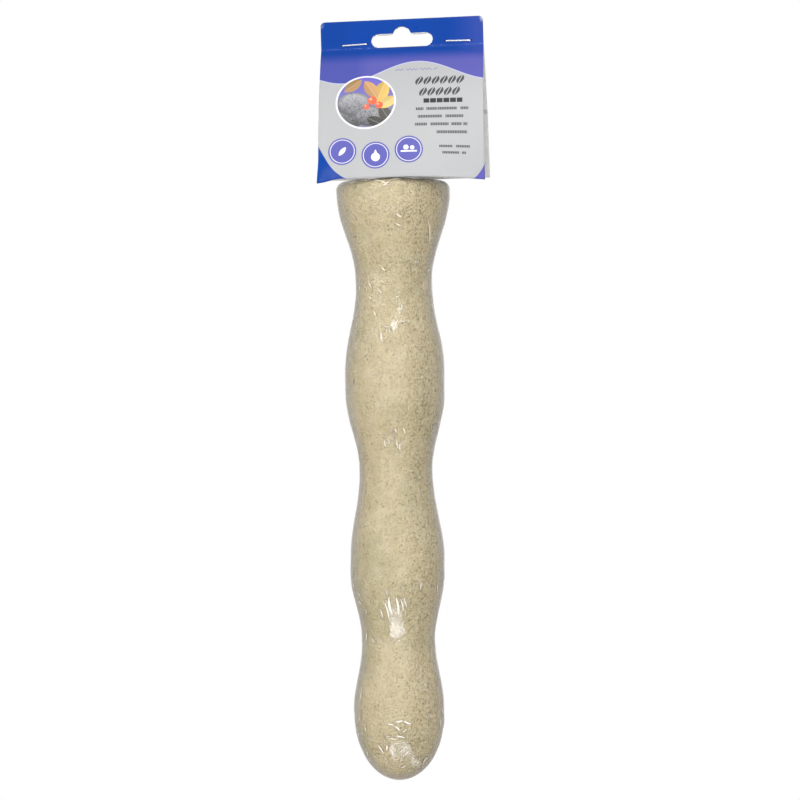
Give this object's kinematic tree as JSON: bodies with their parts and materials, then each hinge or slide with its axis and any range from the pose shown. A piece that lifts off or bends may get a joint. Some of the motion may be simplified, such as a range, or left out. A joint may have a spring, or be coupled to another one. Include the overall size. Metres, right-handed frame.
{
  "type": "bird perch",
  "caption": "Wavy cement bird perch with a threaded stud, washers and a wing nut, shrunk into clear film that hangs from a folded header card.",
  "frame": {"origin": "centre of the perch's flat mounting face, at the foot of the stud", "axes": "+Z out of the mounting face along the stud, +X to the right of the card's front, -Y towards the viewer of the card's front"},
  "size_m": [0.087, 0.0641, 0.3833],
  "materials": {
    "cement": "sandy matt cement",
    "hardwood": "sawn",
    "zinc_steel": "bright zinc plate",
    "clear_film": "clear shrink film",
    "printed_card": "gloss print outside, bare grey board inside",
    "staple_wire": "bright wire"
  },
  "bodies": {
    "packed_perch": {"perch_casting": "cement", "core_dowel": "hardwood", "hanger_bolt": "zinc_steel", "perch_washer": "zinc_steel", "film_wrap": "clear_film", "film_neck": "clear_film", "header_card": "printed_card", "staple_left": "staple_wire", "staple_right": "staple_wire"},
    "outer_washer": {"cage_washer": "zinc_steel"},
    "nut": {"wing_nut": "zinc_steel"}
  },
  "joints": [
    {"name": "washer_slide", "type": "slide", "parent": "packed_perch", "child": "outer_washer", "axis": [0, 0, 1], "range_m": [0, 0.015]},
    {"name": "nut_spin", "type": "hinge", "parent": "outer_washer", "child": "nut", "pos_m": [0, 0, 0.0016], "axis": [0, 0, 1], "range_deg": [0, 5400]}
  ],
  "couplings": [
    {"joint": "washer_slide", "follows": "nut_spin", "m_per_rad": 0.00015915}
  ]
}
